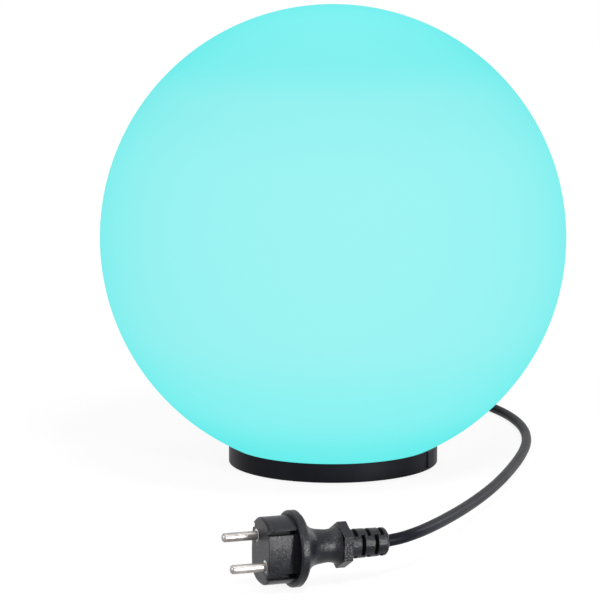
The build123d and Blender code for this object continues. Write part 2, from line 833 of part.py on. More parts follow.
neck_root_radius = barrel_radius - neck_hollow
neck_end_radius = hex_across / 2 - hex_inset

with BuildPart() as plug_body:
    with BuildSketch(section_plane):
        with BuildLine():
            Polyline(
                (0, 0),
                (barrel_radius - barrel_edge, 0),
                (barrel_radius, barrel_edge),
                (barrel_radius, barrel_length),
                (flange_radius - flange_rear_edge, barrel_length),
                (flange_radius, barrel_length + flange_rear_edge),
                (flange_radius, flange_end - flange_front_edge),
                (flange_radius - flange_front_edge, flange_end),
                (neck_root_radius, flange_end),
            )
            Spline(
                (neck_root_radius, flange_end),
                (neck_waist_radius + neck_hollow, flange_end + neck_length * neck_hollow_share),
                (neck_waist_radius, waist_at),
                (neck_end_radius, hex_start),
                tangents=[(-neck_start_slope, 1), (neck_end_slope, 1)],
            )
            Polyline(
                (neck_end_radius, hex_start),
                (relief_start_radius, hex_start),
                (relief_start_radius, hex_end),
                (relief_end_radius, plug_length - relief_edge),
                (relief_end_radius - relief_edge, plug_length),
                (0, plug_length),
                (0, 0),
            )
        make_face()
    revolve(axis=plug_line)
    # side recesses for the earth clips of a socket, with a narrow groove along each edge
    recess_middle = recess_floor - recess_bulge + barrel_radius / 2
    floor_radius = (recess_half_height**2 + recess_bulge**2) / (2 * recess_bulge)
    for side in (1, -1):
        with BuildSketch(plug_plane):
            with Locations((side * recess_middle, 0)):
                Rectangle(barrel_radius, 2 * recess_half_height)
            with Locations((side * (recess_floor - floor_radius), 0)):
                Circle(floor_radius, mode=Mode.SUBTRACT)
        extrude(amount=barrel_length, mode=Mode.SUBTRACT)
    with BuildSketch(plug_plane):
        groove_middle_height = recess_half_height - groove_width / 2
        with GridLocations(2 * (recess_floor - recess_bulge), 2 * groove_middle_height, 2, 2):
            Rectangle(2 * groove_depth, groove_width)
    extrude(amount=barrel_length, mode=Mode.SUBTRACT)
    # hexagonal collar
    with BuildSketch(plug_plane.offset(hex_start)):
        RegularPolygon(hex_across / 2, 6, major_radius=False, rotation=30)
    extrude(amount=hex_length)
    # slots that make the strain relief flexible, turned a quarter from each pair to the next
    relief_step = relief_length / (relief_slot_count + 1)
    for slot in range(relief_slot_count):
        slot_middle = hex_end + relief_step * (slot + 1)
        with BuildSketch(plug_plane.offset(slot_middle - relief_slot / 2)):
            with PolarLocations(0, 2, start_angle=90 * ((slot + 1) % 2)):
                Polygon(*wedge(2 * relief_start_radius, relief_slot_half_angle), align=None)
            Circle(cord_radius + relief_core_wall, mode=Mode.SUBTRACT)
        extrude(amount=relief_slot, mode=Mode.SUBTRACT)
    # pockets for the pins and their collars
    with BuildSketch(plug_plane):
        with Locations(*pin_places):
            Circle(collar_outer + fit_gap)
    extrude(amount=collar_depth + collar_sunk, mode=Mode.SUBTRACT)
    with BuildSketch(plug_plane):
        with Locations(*pin_places):
            Circle(pin_root_radius + fit_gap)
    extrude(amount=pin_buried, mode=Mode.SUBTRACT)
plug_body.part.label = "plug_body"
export_step(plug_body.part, "parts/plug_body.step")

with BuildPart() as plug_pins:
    with BuildSketch(plug_plane.offset(-pin_length)):
        with Locations(*pin_places):
            Circle(pin_radius)
    extrude(amount=pin_length - pin_shoulder)
    tip_edges = plug_pins.edges().filter_by(GeomType.CIRCLE).group_by(plug_line)[0]
    fillet(tip_edges, radius=pin_tip_fillet)
    with BuildSketch(plug_plane.offset(-pin_shoulder)):
        with Locations(*pin_places):
            Circle(pin_root_radius)
    extrude(amount=pin_shoulder + pin_buried)
plug_pins.part.label = "plug_pins"
export_step(plug_pins.part, "parts/plug_pins.step")

with BuildPart() as plug_pin_collars:
    with BuildSketch(plug_plane.offset(collar_sunk)):
        with Locations(*pin_places):
            Circle(collar_outer)
        with Locations(*pin_places):
            Circle(pin_root_radius + fit_gap, mode=Mode.SUBTRACT)
    extrude(amount=collar_depth)
plug_pin_collars.part.label = "plug_pin_collars"
export_step(plug_pin_collars.part, "parts/plug_pin_collars.step")

# ---- Cord: a tail from the base, the coil of spare cord, and the lead to the plug ----
ground_height = cord_radius + 0.1
coil_low = tie_thickness + tie_gap + cord_radius
coil_high = coil_low + (coil_layers - 1) * coil_pitch
layer_turns = coil_turns / coil_layers
coil_end_run = 2 * cord_radius
plug_run = 9.0


def corner_radii(points):
    """Largest arcs that the runs beside each corner of a route leave room for."""
    places = [Vector(*point) for point in points]
    radii = []
    for before, corner, after in zip(places, places[1:], places[2:]):
        turn = (corner - before).get_angle(after - corner)
        shorter = min((corner - before).length, (after - corner).length)
        radii.append(0.45 * shorter / tan(radians(turn / 2)))
    return radii


def coil_point(turns):
    """Centre of the cord after some turns from the coil's upper end, winding clockwise from above."""
    layer = min(int(turns / layer_turns), coil_layers - 1)
    share = turns / layer_turns - layer
    inwards = share if layer % 2 == 0 else 1 - share
    radius = coil_outer - inwards * layer_turns * coil_pitch
    height = coil_high
    for change in range(1, coil_layers):
        climb = (turns - change * layer_turns) / 0.5 + 0.5
        height -= coil_pitch * min(max(climb, 0), 1)
    angle = pi - 2 * pi * turns
    return Vector(coil_x + radius * cos(angle), coil_y + radius * sin(angle), height)


def coil_heading(turns):
    """Direction of the cord there."""
    step = 0.002
    return (coil_point(turns + step) - coil_point(turns - step)).normalized()


tail_start = (0, gland_end, entry_height)
tail_end = (coil_x - coil_outer, coil_y - coil_end_run, coil_high)
tail_route = [
    tail_start,
    (0, 103, entry_height),
    (-2, 117, 9.6),
    (-5.2, 134, 18.0),
    (-7.4, 147, 23.5),
    (-7.8, 158, coil_high),
    tail_end,
]
lead_end = (coil_x + coil_end_run, coil_y + coil_outer, coil_low)
lead_route = [
    tuple(cord_start),
    tuple(cord_start + plug_axis * plug_run),
    (43.0, -272.1, 18.6),
    (48.8, -265.2, 18.4),
    (53.3, -256.3, 17.9),
    (57.5, -240.5, 16.5),
    (65.0, -216.5, 14.2),
    (79.8, -172.5, 10.6),
    (96.0, -119.0, 7.1),
    (111.5, -58.0, 4.2),
    (124.5, 4.0, ground_height),
    (131.5, 56.0, ground_height),
    (130.5, 95.0, ground_height),
    (123.5, 129.0, ground_height),
    (113.5, 161.0, ground_height),
    (101.0, 189.5, ground_height),
    (86.0, 210.5, 3.7),
    (65.0, coil_y + coil_outer, coil_low),
    lead_end,
]

tail_radii = corner_radii(tail_route)
print("tail corner radii", [round(radius, 1) for radius in tail_radii])
with BuildPart() as cord_tail:
    with BuildLine() as tail_line:
        FilletPolyline(*tail_route, radius=tail_radii)
    with BuildSketch(rear_plane(gland_end)):
        with Locations((0, entry_height)):
            Circle(cord_radius)
    sweep()
cord_tail.part.label = "cord_tail"
export_step(cord_tail.part, "parts/cord_tail.step")

lead_radii = corner_radii(lead_route)
print("lead corner radii", [round(radius, 1) for radius in lead_radii])
with BuildPart() as cord_lead:
    with BuildLine() as lead_line:
        FilletPolyline(*lead_route, radius=lead_radii)
    with BuildSketch(Plane(origin=cord_start, z_dir=plug_axis)):
        Circle(cord_radius)
    sweep()
cord_lead.part.label = "cord_lead"
export_step(cord_lead.part, "parts/cord_lead.step")

quarter_count = round(coil_turns * 4)
with BuildPart() as cord_coil:
    with BuildLine() as coil_line:
        coil_start_heading = Vector(0, 1, 0)
        coil_end_heading = Vector(1, 0, 0)
        here = coil_point(0)
        heading = coil_start_heading
        Line(here - heading * coil_end_run, here)
        for quarter in range(1, quarter_count + 1):
            there = coil_point(quarter / 4)
            next_heading = coil_heading(quarter / 4)
            if quarter == quarter_count:
                next_heading = coil_end_heading
            chord = there - here
            both = heading + next_heading
            bend = 2 * (1 - heading.dot(next_heading))
            reach = (sqrt(chord.dot(both) ** 2 + bend * chord.dot(chord)) - chord.dot(both)) / bend
            middle = (here + heading * reach + there - next_heading * reach) / 2
            TangentArc(here, middle, tangent=heading)
            TangentArc(there, middle, tangent=-next_heading)
            here = there
            heading = next_heading
        Line(here, here + heading * coil_end_run)
    with BuildSketch(rear_plane(coil_y - coil_end_run)):
        with Locations((coil_outer - coil_x, coil_high)):
            Circle(cord_radius)
    sweep()
cord_coil.part.label = "cord_coil"
export_step(cord_coil.part, "parts/cord_coil.step")

samples = [coil_point(step / 48) for step in range(int(coil_turns * 48) + 1)]
least_gap = min(
    (first - second).length - 2 * cord_radius
    for index, first in enumerate(samples)
    for second in samples[index + 24:]
)
print("coil's least gap to itself", round(least_gap, 2))

# ---- Tie round the coil's turns ----
tie_inner_reach = coil_outer - layer_turns * coil_pitch - cord_radius - tie_gap
tie_outer_reach = coil_outer + cord_radius + tie_gap
tie_plane = Plane(
    origin=(coil_x, coil_y, 0),
    x_dir=(cos(radians(tie_angle)), sin(radians(tie_angle)), 0),
    z_dir=(sin(radians(tie_angle)), -cos(radians(tie_angle)), 0),
)
with BuildPart() as coil_tie:
    with BuildSketch(tie_plane.offset(-tie_width / 2)):
        tie_middle = (tie_inner_reach + tie_outer_reach) / 2
        tie_span = tie_outer_reach - tie_inner_reach
        tie_top = coil_high + cord_radius + tie_gap
        with Locations((tie_middle, (tie_thickness + tie_top) / 2)):
            RectangleRounded(tie_span + 2 * tie_thickness, tie_top + tie_thickness, 2 + tie_thickness)
            RectangleRounded(tie_span, tie_top - tie_thickness, 2, mode=Mode.SUBTRACT)
    extrude(amount=tie_width)
coil_tie.part.label = "coil_tie"
export_step(coil_tie.part, "parts/coil_tie.step")

section = pi * cord_radius**2
for name, line, tube in (
    ("tail", tail_line, cord_tail),
    ("coil", coil_line, cord_coil),
    ("lead", lead_line, cord_lead),
):
    length = sum(edge.length for edge in line.edges())
    print(name, "length", round(length, 1), "volume ratio", round(tube.part.volume / (section * length), 4))
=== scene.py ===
import json
from math import atan2, cos, degrees, pi, radians, sin, sqrt
import bmesh
import bpy
from mathutils import Matrix, Vector


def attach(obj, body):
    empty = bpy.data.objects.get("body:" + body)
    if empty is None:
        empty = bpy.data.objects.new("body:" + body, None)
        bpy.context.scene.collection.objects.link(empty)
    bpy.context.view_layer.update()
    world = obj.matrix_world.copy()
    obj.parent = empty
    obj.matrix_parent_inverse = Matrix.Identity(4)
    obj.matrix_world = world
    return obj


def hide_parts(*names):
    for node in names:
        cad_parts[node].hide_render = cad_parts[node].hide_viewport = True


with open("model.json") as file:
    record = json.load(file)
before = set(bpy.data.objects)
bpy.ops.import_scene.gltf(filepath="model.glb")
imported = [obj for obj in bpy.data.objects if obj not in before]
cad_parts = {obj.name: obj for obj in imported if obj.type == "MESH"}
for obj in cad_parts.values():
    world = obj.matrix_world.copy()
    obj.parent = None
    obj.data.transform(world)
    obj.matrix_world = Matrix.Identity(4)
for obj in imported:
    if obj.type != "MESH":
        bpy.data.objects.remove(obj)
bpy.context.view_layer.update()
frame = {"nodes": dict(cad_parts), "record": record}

nodes = frame["nodes"]
scene = bpy.context.scene
print("stage: frame loaded")


def metres(points):
    return [tuple(value / 1000 for value in point) for point in points]


# camera at the photograph's place
cameraValues = {
    "distance": 1.5,
    "elevation": 7.116,
    "aimHeight": 0.147,
    "lens": 139.31,
    "sensor": 36,
    "pixels": 600,
    "aimPixel": (333.07, 237.3),
    "clipEnd": 50,
}


def makeCamera(v):
    data = bpy.data.cameras.new("photoCamera")
    camera = bpy.data.objects.new("photoCamera", data)
    scene.collection.objects.link(camera)
    tilt = radians(v["elevation"])
    camera.location = (0, -v["distance"] * cos(tilt), v["aimHeight"] + v["distance"] * sin(tilt))
    camera.rotation_euler = (pi / 2 - tilt, 0, 0)
    data.lens = v["lens"]
    data.sensor_width = v["sensor"]
    middle = v["pixels"] / 2
    data.shift_x = (middle - v["aimPixel"][0]) / v["pixels"]
    data.shift_y = (v["aimPixel"][1] - middle) / v["pixels"]
    data.clip_end = v["clipEnd"]
    scene.camera = camera


makeCamera(cameraValues)
print("stage: camera")

# cord: tail from the base, coil of the spare length, lead to the plug, on one smooth line
# (routes and the coil's values in millimetres, the rest in metres)
cordValues = {
    "diameter": 0.0065,
    "length": 3.04,
    "exit": (0, 0.092, 0.00585),
    "sides": 7,
    "steps": 8,
    "coilCentre": (38, 174.5),
    "coilOuter": 45.8,
    "coilPitch": 6.95,
    "coilLayers": 4,
    "coilTurns": 10.25,
    "coilLow": 4.2,
    "climbTurns": 0.5,
    "pointsPerTurn": 20,
}
tailRoute = [
    (0, 92, 5.85), (0, 103, 5.85), (-2, 117, 9.6), (-5.2, 134, 18.0), (-7.4, 147, 23.5),
    (-7.8, 158, 25.05), (-7.8, 168, 25.05),
]
leadRoute = [
    (27.5, -281.0, 18.96), (34.0, -278.0, 19.2), (42.5, -270.5, 19.9), (51.0, -255.5, 19.3),
    (62.5, -226.0, 17.0), (79.0, -178.3, 13.6), (97.8, -115.8, 10.0), (113.4, -50.9, 6.8),
    (124.4, 2.1, 4.8), (131.0, 47.0, 3.5), (131.8, 88.8, 3.35), (125.8, 127.8, 3.35),
    (115.5, 158.0, 3.35), (101.0, 189.5, 3.35), (86.0, 210.5, 3.7), (65.0, 220.3, 4.2),
]  # beside the solid tube by 3.2 mm at most, for a smoother fall of the cord


def coilPoints(v):
    layerTurns = v["coilTurns"] / v["coilLayers"]
    high = v["coilLow"] + (v["coilLayers"] - 1) * v["coilPitch"]
    swell = 1 / cos(pi / v["pointsPerTurn"])  # the smooth line runs this much inside its points
    points = []
    for step in range(round(v["coilTurns"] * v["pointsPerTurn"]) + 1):
        turns = step / v["pointsPerTurn"]
        layer = min(int(turns / layerTurns), v["coilLayers"] - 1)
        share = turns / layerTurns - layer
        inwards = share if layer % 2 == 0 else 1 - share
        radius = (v["coilOuter"] - inwards * layerTurns * v["coilPitch"]) * swell
        height = high
        for change in range(1, v["coilLayers"]):
            climb = (turns - change * layerTurns) / v["climbTurns"] + 0.5
            height -= v["coilPitch"] * min(max(climb, 0), 1)
        angle = pi - 2 * pi * turns
        x, y = v["coilCentre"]
        points.append((x + radius * cos(angle), y + radius * sin(angle), height))
    return points


def makeLine(name, points, radius, sides, steps):
    curve = bpy.data.curves.new(name, "CURVE")
    curve.dimensions = "3D"
    spline = curve.splines.new("NURBS")
    spline.points.add(len(points) - 1)
    for point, place in zip(spline.points, points):
        point.co = (*place, 1)
        point.radius = radius  # the bevel below is one metre, so this is the tube's true radius
    spline.order_u = 3
    spline.use_endpoint_u = True
    spline.resolution_u = steps
    curve.bevel_depth = 1.0
    curve.bevel_resolution = sides
    curve.use_fill_caps = True
    line = bpy.data.objects.new(name, curve)
    scene.collection.objects.link(line)
    return line


cordPoints = metres(tailRoute + coilPoints(cordValues) + leadRoute[::-1])
cord = makeLine(
    "mainsCord", cordPoints, cordValues["diameter"] / 2, cordValues["sides"], cordValues["steps"]
)
print("stage: cord")

# short wires and the cord's end inside the base, in millimetres
wireValues = {"coreRadius": 1.1, "cordRadius": 3.25, "sides": 4, "steps": 6}
wireRoute = [(1.4, 50, 5.85), (1.4, 44, 5.85), (4.5, 36, 17.4), (4.5, 24, 17.4)]
holderRoute = [(4.5, 22, 17.4), (4.5, 10, 17.4), (4.5, 5, 24), (4.5, 5, 34)]
innerRoute = [(0, 50, 5.85), (0, 56, 5.85), (0, 63.1, 5.85)]


def mirrored(points):
    return [(-x, y, z) for x, y, z in points]


innerLines = {
    "wire_brown": ("wire_brown", "coreRadius", wireRoute),
    "wire_blue": ("wire_blue", "coreRadius", mirrored(wireRoute)),
    "lead_brown": ("wire_brown", "coreRadius", holderRoute),
    "lead_blue": ("wire_blue", "coreRadius", mirrored(holderRoute)),
    "cord_inner": ("cord_black", "cordRadius", innerRoute),
}
innerPieces = {}
for nodeName, (slotName, radiusKey, points) in innerLines.items():
    piece = makeLine(
        nodeName.replace("_", "") + "Line", metres(points), wireValues[radiusKey] / 1000,
        wireValues["sides"], wireValues["steps"],
    )
    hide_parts(nodeName)
    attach(piece, "base")
    innerPieces[nodeName] = piece
print("stage: inner wires")


def finishMesh(name, shape, smoothAngle):
    bmesh.ops.recalc_face_normals(shape, faces=shape.faces)
    mesh = bpy.data.meshes.new(name)
    shape.to_mesh(mesh)
    shape.free()
    for polygon in mesh.polygons:
        polygon.use_smooth = True
    mesh.set_sharp_from_angle(angle=radians(smoothAngle))
    piece = bpy.data.objects.new(name, mesh)
    scene.collection.objects.link(piece)
    return piece


def spinProfile(shape, profile, steps):
    verts = [shape.verts.new((x, 0, z)) for x, z in profile]
    edges = [shape.edges.new(pair) for pair in zip(verts, verts[1:] + verts[:1])]
    bmesh.ops.spin(
        shape, geom=verts + edges, axis=(0, 0, 1), cent=(0, 0, 0), angle=2 * pi, steps=steps, use_merge=True
    )
    bmesh.ops.remove_doubles(shape, verts=shape.verts, dist=1e-6)


# globe with its inward lip, three notches and three stops
globeValues = {
    "radius": 0.15,
    "wall": 0.0025,
    "centre": 0.14699,
    "lipBottom": 0.0124,
    "lipTop": 0.0154,
    "neck": 0.05,
    "edge": 0.0005,
    "notch": 0.0556,
    "notchHalf": 14.5,
    "notchSlack": 0.0004,
    "repeats": 3,
    "steps": 180,
    "rings": 72,
    "stopAngle": 43.9,
    "stopReach": 0.0533,
    "stopSize": (0.0044, 0.0028, 0.003),
    "smoothAngle": 40,
}


def ballPoints(radius, v, fromHeight, count):
    start = atan2(fromHeight - v["centre"], sqrt(radius**2 - (v["centre"] - fromHeight) ** 2))
    angles = [start + (pi / 2 - start) * step / count for step in range(count + 1)]
    return [(radius * cos(a) if a < pi / 2 - 1e-9 else 0.0, v["centre"] + radius * sin(a)) for a in angles]


def makeGlobe(v):
    shape = bmesh.new()
    outer = ballPoints(v["radius"], v, v["lipBottom"], v["rings"])
    inner = ballPoints(v["radius"] - v["wall"], v, v["lipTop"], v["rings"])[::-1]
    edge = v["edge"]
    beyond = v["notch"] + v["notchSlack"]
    lip = [
        (beyond, v["lipTop"]),
        (v["neck"] + edge, v["lipTop"]),
        (v["neck"], v["lipTop"] - edge),
        (v["neck"], v["lipBottom"] + edge),
        (v["neck"] + edge, v["lipBottom"]),
        (beyond, v["lipBottom"]),
    ]
    spinProfile(shape, outer + inner + lip, v["steps"])
    turn = 360 / v["repeats"]
    for vert in shape.verts:  # the lip's inner edge goes outwards where a notch is
        reach = sqrt(vert.co.x**2 + vert.co.y**2)
        if reach > v["neck"] + 2 * edge or vert.co.z > v["lipTop"] + edge:
            continue
        away = abs((degrees(atan2(vert.co.y, vert.co.x)) + turn / 2) % turn - turn / 2)
        if away < v["notchHalf"]:
            push = (v["notch"] - v["neck"]) / reach + 1
            vert.co.x *= push
            vert.co.y *= push
    for stop in range(v["repeats"]):
        middle = radians(v["stopAngle"] + turn * stop)
        made = bmesh.ops.create_cube(shape, size=1)["verts"]
        bmesh.ops.scale(shape, vec=v["stopSize"], verts=made)
        place = (v["stopReach"], 0, v["lipTop"] + v["stopSize"][2] / 2)
        bmesh.ops.translate(shape, vec=place, verts=made)
        bmesh.ops.rotate(shape, cent=(0, 0, 0), matrix=Matrix.Rotation(middle, 3, "Z"), verts=made)
    return finishMesh("glowGlobe", shape, v["smoothAngle"])


globe = makeGlobe(globeValues)
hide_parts("globe_shell")
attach(globe, "globe")
globe.visible_diffuse = False  # the photograph's black parts and floor stay neutral beside the glow
globe.visible_glossy = False
print("stage: globe")

# tie round the coil: a strap loop with rounded corners
tieValues = {
    "centre": (0.038, 0.1745),
    "angle": -60,
    "from": 0.02439,
    "to": 0.0494,
    "top": 0.02865,
    "thickness": 0.0006,
    "corner": 0.002,
    "cornerSteps": 6,
    "width": 0.009,
    "rimBevel": 0.00015,
    "rimAngle": 60,
    "smoothAngle": 40,
}


def roundedLoop(left, right, low, high, corner, steps):
    points = []
    for cx, cz, first in (
        (right - corner, low + corner, -90),
        (right - corner, high - corner, 0),
        (left + corner, high - corner, 90),
        (left + corner, low + corner, 180),
    ):
        for step in range(steps + 1):
            a = radians(first + 90 * step / steps)
            points.append((cx + corner * cos(a), cz + corner * sin(a)))
    return points


def makeTie(v):
    shape = bmesh.new()
    t = v["thickness"]
    loops = []
    for side in (-0.5, 0.5):
        for grow in (0, t):
            loop = roundedLoop(
                v["from"] - grow, v["to"] + grow, t - grow, v["top"] + grow,
                v["corner"] + grow, v["cornerSteps"],
            )
            loops.append([shape.verts.new((x, side * v["width"], z)) for x, z in loop])
    innerNear, outerNear, innerFar, outerFar = loops
    ring = [innerNear, outerNear, outerFar, innerFar]
    count = len(innerNear)
    for first, second in zip(ring, ring[1:] + ring[:1]):
        for i in range(count):
            j = (i + 1) % count
            shape.faces.new((first[i], first[j], second[j], second[i]))
    rim = [
        edge for edge in shape.edges
        if abs(abs(edge.verts[0].co.y) - v["width"] / 2) < 1e-6
        and abs(edge.verts[0].co.y - edge.verts[1].co.y) < 1e-6
        and len(edge.link_faces) == 2 and edge.calc_face_angle(0) > radians(v["rimAngle"])
    ]
    bmesh.ops.bevel(
        shape, geom=rim, offset=v["rimBevel"], segments=1, profile=0.5, affect="EDGES", material=-1
    )
    turned = Matrix.Rotation(radians(v["angle"]), 3, "Z")
    bmesh.ops.rotate(shape, cent=(0, 0, 0), matrix=turned, verts=shape.verts)
    bmesh.ops.translate(shape, vec=(*v["centre"], 0), verts=shape.verts)
    return finishMesh("coilStrap", shape, v["smoothAngle"])


tie = makeTie(tieValues)
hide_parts("coil_tie")
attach(tie, "base")
print("stage: tie")

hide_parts("cord_tail", "cord_coil", "cord_lead")
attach(cord, "base")


# shared surface effects, as groups that give only masks and heights; the hollow mask paints shade into
# hollows
effectValues = {
    "mouldTone": {"scale": 38, "detail": 5},
    "mouldFine": {"scale": 900, "detail": 2},
    "metalStretch": (1, 1, 14),
    "metalLines": 3,
    "metalTone": {"scale": 120, "detail": 3},
    "leatherTone": {"scale": 150, "detail": 4},
    "leatherFine": {"scale": 2600, "detail": 3},
    "leatherFineShare": 0.35,
    "leatherWarp": 260,
    "leatherShift": 0.0012,
    # painted shade in hollows: samples and range of the hollow mask, and how dark it paints the deepest
    # hollows
    "hollowSamples": 8,
    "hollowRange": (0.30, 0.72),
    "hollowShadeDarkest": 0.04,
    "noiseRoughness": 0.55,
}


def setInputs(tree, node, inputs):
    for key, value in inputs.items():
        if hasattr(value, "is_linked"):  # a socket rather than a value
            tree.links.new(value, node.inputs[key])
        else:
            node.inputs[key].default_value = value


def addNode(tree, kind, inputs, **settings):
    node = tree.nodes.new(kind)
    for key, value in settings.items():
        setattr(node, key, value)
    setInputs(tree, node, inputs)
    return node


def makeGroup(name, entries, results, build):
    group = bpy.data.node_groups.new(name, "ShaderNodeTree")
    for socketName, kind in entries.items():
        group.interface.new_socket(socketName, in_out="INPUT", socket_type="NodeSocket" + kind)
    for socketName in results:
        group.interface.new_socket(socketName, in_out="OUTPUT", socket_type="NodeSocketFloat")
    entry = group.nodes.new("NodeGroupInput")
    leave = group.nodes.new("NodeGroupOutput")
    made = build(group, effectValues, *[entry.outputs[socketName] for socketName in entries])
    for socketName, source in zip(results, made):
        group.links.new(source, leave.inputs[socketName])
    return group


def addNoise(tree, vector, scale, detail=None):
    noise = addNode(tree, "ShaderNodeTexNoise", {"Vector": vector, "Scale": scale})
    if detail is not None:
        setInputs(tree, noise, {"Detail": detail, "Roughness": effectValues["noiseRoughness"]})
    return noise


def addCells(tree, vector, scale, feature):
    inputs = {"Vector": vector, "Scale": scale}
    return addNode(tree, "ShaderNodeTexVoronoi", inputs, feature=feature).outputs["Distance"]


def addMath(tree, operation, *values):
    return addNode(tree, "ShaderNodeMath", dict(enumerate(values)), operation=operation).outputs[0]


def buildGrain(tree, v, vector, scale):
    tone = addNoise(tree, vector, **v["mouldTone"]).outputs["Fac"]
    fine = addNoise(tree, vector, **v["mouldFine"]).outputs["Fac"]
    return tone, addMath(tree, "ADD", addCells(tree, vector, scale, "F1"), fine)


def buildBrushed(tree, v, vector, scale):
    stretch = addNode(tree, "ShaderNodeMapping", {"Scale": v["metalStretch"], "Vector": vector})
    lines = addNoise(tree, stretch.outputs["Vector"], scale, v["metalLines"]).outputs["Fac"]
    return addNoise(tree, vector, **v["metalTone"]).outputs["Fac"], lines


def buildLeather(tree, v, vector, scale):
    warp = addNoise(tree, vector, v["leatherWarp"]).outputs["Color"]
    inputs = {0: warp, 1: (v["leatherShift"],) * 3, 2: vector}
    shift = addNode(tree, "ShaderNodeVectorMath", inputs, operation="MULTIPLY_ADD")
    cells = addCells(tree, shift.outputs[0], scale, "SMOOTH_F1")
    fine = addNoise(tree, vector, **v["leatherFine"]).outputs["Fac"]
    height = addMath(tree, "MULTIPLY_ADD", fine, v["leatherFineShare"], cells)
    return addNoise(tree, vector, **v["leatherTone"]).outputs["Fac"], height


# painted shade: an ambient-occlusion mask, 1 where open and lower in hollows, creases and slots
def buildCreviceShade(tree, v, depth):
    hollow = addNode(
        tree, "ShaderNodeAmbientOcclusion", {"Distance": depth}, samples=v["hollowSamples"], only_local=True
    )
    low, high = v["hollowRange"]
    inputs = {"Value": hollow.outputs["AO"], "From Min": low, "From Max": high, "To Min": v["hollowShadeDarkest"]}
    return (addNode(tree, "ShaderNodeMapRange", inputs).outputs["Result"],)


effectEntries = {"Vector": "Vector", "Scale": "Float"}
grainGroup = makeGroup("mouldGrain", effectEntries, ("Tone", "Height"), buildGrain)
leatherGroup = makeGroup("leatherGrain", effectEntries, ("Tone", "Height"), buildLeather)
creviceShadeGroup = makeGroup("creviceShadeMask", {"Depth": "Float"}, ("Open",), buildCreviceShade)
brushedGroup = makeGroup("drawnMetal", effectEntries, ("Tone", "Height"), buildBrushed)


# paints shade into hollows: the base colour is scaled down by the mask and the roughness raised there
def paintShadeInHollows(tree, shader, depth):
    hollow = addNode(tree, "ShaderNodeGroup", {}, node_tree=creviceShadeGroup)
    hollow.inputs["Depth"].default_value = depth
    openness = hollow.outputs["Open"]
    colour, rough = (shader.inputs[key].links[0].from_socket for key in ("Base Color", "Roughness"))
    shadedColour = addNode(tree, "ShaderNodeVectorMath", {0: colour, "Scale": openness}, operation="SCALE")
    duller = addNode(tree, "ShaderNodeMath", {0: rough, 1: openness}, operation="DIVIDE", use_clamp=True)
    setInputs(tree, shader, {"Base Color": shadedColour.outputs[0], "Roughness": duller.outputs[0]})


surfaceValues = {
    "toneFrom": 0.35,
    "toneTo": 0.65,
    "roughSpread": 0.1,
    "smoothest": 0.02,
    "reliefStrength": 0.5,
    "edgeSamples": 6,
}


def surface(
    name, colour, rough, group=grainGroup, scale=700, bump=0.0001, spread=0.18,
    metallic=0.0, specular=0.5, edge=0.0, hollowShadeDepth=0.0,
):
    v = surfaceValues
    material = bpy.data.materials.new(name)
    material.use_nodes = True
    tree = material.node_tree
    shader = tree.nodes["Principled BSDF"]
    coordinates = tree.nodes.new("ShaderNodeTexCoord")
    effect = addNode(tree, "ShaderNodeGroup", {}, node_tree=group)
    setInputs(tree, effect, {"Vector": coordinates.outputs["Object"], "Scale": scale})
    tone = effect.outputs["Tone"]
    ramp = addNode(tree, "ShaderNodeValToRGB", {"Fac": tone})
    for element, key, change in zip(ramp.color_ramp.elements, ("toneFrom", "toneTo"), (-spread, spread)):
        element.position = v[key]
        element.color = (*[min(c * (1 + change), 1) for c in colour], 1)
    gloss = addNode(tree, "ShaderNodeMapRange", {
        "Value": tone,
        "To Min": max(rough - v["roughSpread"], v["smoothest"]),
        "To Max": min(rough + v["roughSpread"], 1),
    })
    relief = addNode(tree, "ShaderNodeBump", {
        "Distance": bump,
        "Strength": v["reliefStrength"],
        "Height": effect.outputs["Height"],
    })
    if edge:  # moulded edges catch light as if rounded by this radius
        rounded = addNode(tree, "ShaderNodeBevel", {"Radius": edge}, samples=v["edgeSamples"])
        tree.links.new(rounded.outputs["Normal"], relief.inputs["Normal"])
    setInputs(tree, shader, {
        "Base Color": ramp.outputs["Color"],
        "Roughness": gloss.outputs["Result"],
        "Normal": relief.outputs["Normal"],
        "Metallic": metallic,
        "Specular IOR Level": specular,
    })
    # painted shade in hollows, only where a depth is given
    if hollowShadeDepth:
        paintShadeInHollows(tree, shader, hollowShadeDepth)
    return material


# globe: lit plastic whose glow falls off a little towards the mouth and the crown
glowValues = {
    "base": (0.008, 0.012, 0.012),
    "rough": 0.6,
    "crown": 0.297,
    "stops": (
        (0.06, (0.250, 0.896, 0.882)),
        (0.18, (0.350, 0.912, 0.905)),
        (0.34, (0.412, 0.907, 0.901)),
        (0.66, (0.412, 0.905, 0.899)),
        (0.80, (0.385, 0.890, 0.885)),
        (0.89, (0.304, 0.888, 0.883)),
        (1.00, (0.345, 0.922, 0.917)),
    ),
    "skinTint": (0.80, 0.98, 0.98),
    "skinIndex": 1.06,
}


